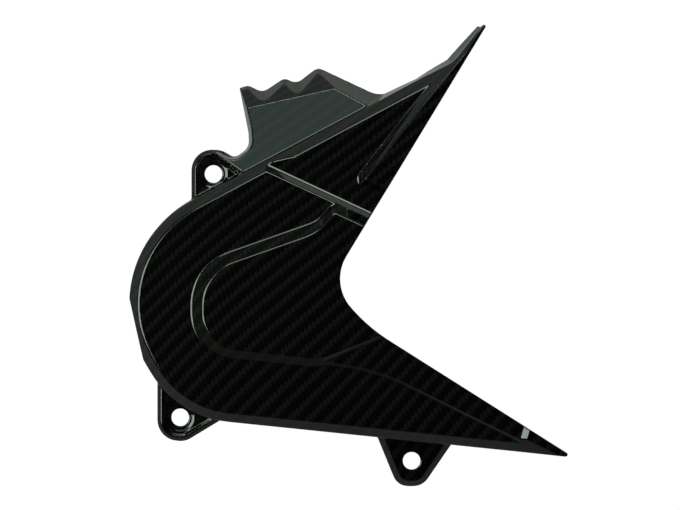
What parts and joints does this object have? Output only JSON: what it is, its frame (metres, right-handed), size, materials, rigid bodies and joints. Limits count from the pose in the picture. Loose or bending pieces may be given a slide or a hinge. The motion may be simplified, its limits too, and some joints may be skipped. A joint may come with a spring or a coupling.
{
  "type": "motorcycle sprocket cover",
  "caption": "Moulded carbon-fibre laminate guard that screws over a motorcycle's front sprocket and the run of the drive chain.",
  "frame": {"origin": "axis of the front upper fixing hole, on the underside of its ear, which is the mounting plane", "axes": "+Z leaves the visible face, +Y points to the upper arm, +X points to the open side of the notch"},
  "size_m": [0.2219, 0.2353, 0.0342],
  "materials": {
    "carbon": "2x2 twill carbon fibre under a clear gloss coat"
  },
  "bodies": {
    "root": {"sprocket_cover": "carbon"}
  },
  "joints": []
}
